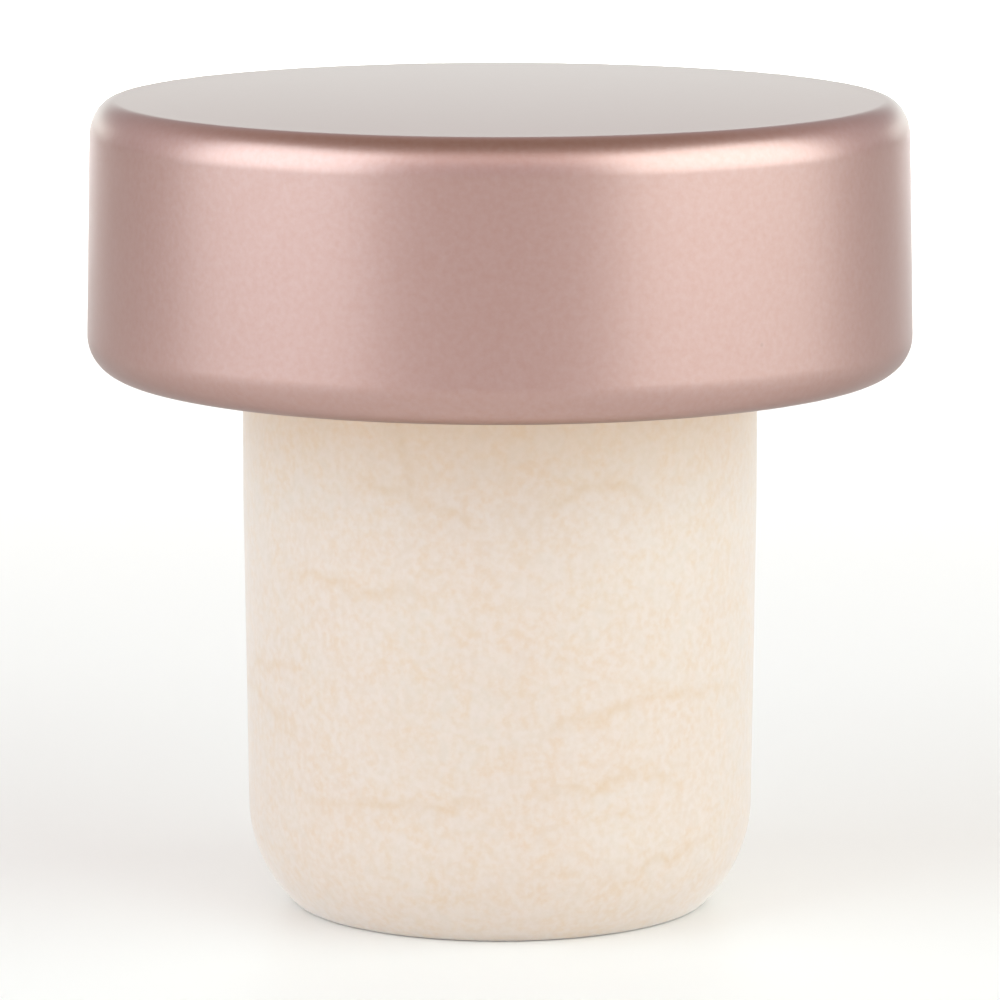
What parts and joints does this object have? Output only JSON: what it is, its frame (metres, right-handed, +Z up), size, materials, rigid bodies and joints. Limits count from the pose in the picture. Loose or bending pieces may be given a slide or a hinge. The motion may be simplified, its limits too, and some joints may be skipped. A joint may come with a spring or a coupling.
{
  "type": "metal wine stopper",
  "caption": "T-shaped bottle stopper: a low round satin metal cap with rounded edges on a pale moulded cork shank that seals a bottle's neck.",
  "frame": {"origin": "centre of the flat foot that the stopper stands on", "axes": "+Z up along the stopper's own axis, from the cork's foot to the cap's top; the stopper is round, so +X is any direction across it"},
  "size_m": [0.032, 0.032, 0.0316],
  "materials": {
    "cap_metal": "satin",
    "insert_plastic": "satin",
    "cork": "matte"
  },
  "bodies": {
    "root": {"cap_shell": "cap_metal", "cap_insert": "insert_plastic", "cork_shank": "cork"}
  },
  "joints": []
}
